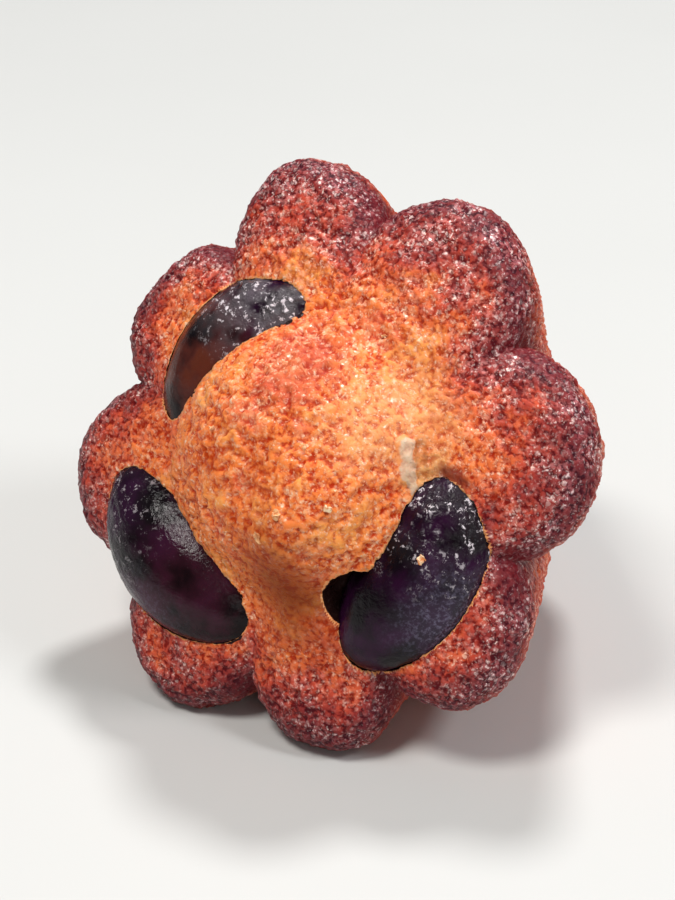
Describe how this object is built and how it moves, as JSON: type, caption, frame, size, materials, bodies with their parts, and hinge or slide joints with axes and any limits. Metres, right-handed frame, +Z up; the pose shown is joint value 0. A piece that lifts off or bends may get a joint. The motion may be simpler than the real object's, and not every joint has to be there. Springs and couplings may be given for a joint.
{
  "type": "financier cake",
  "caption": "Small fluted almond cake lying on its side, with a risen golden face, round lobed rim and dark cooked beans set in the face.",
  "frame": {"origin": "centre of the bounding box's base, on the floor under the cake", "axes": "+Z up; the risen face looks to -Y and a little up; +X to the right of someone who faces it"},
  "size_m": [0.0422, 0.0386, 0.0392],
  "materials": {
    "crust": "golden to dark red-brown baked crust with a fine open crumb",
    "bean_skin": "dark purple-black cooked skin, satin gloss"
  },
  "bodies": {
    "root": {"cake": "crust", "bean_upper_left": "bean_skin", "bean_lower_right": "bean_skin", "bean_lower_left": "bean_skin"}
  },
  "joints": []
}
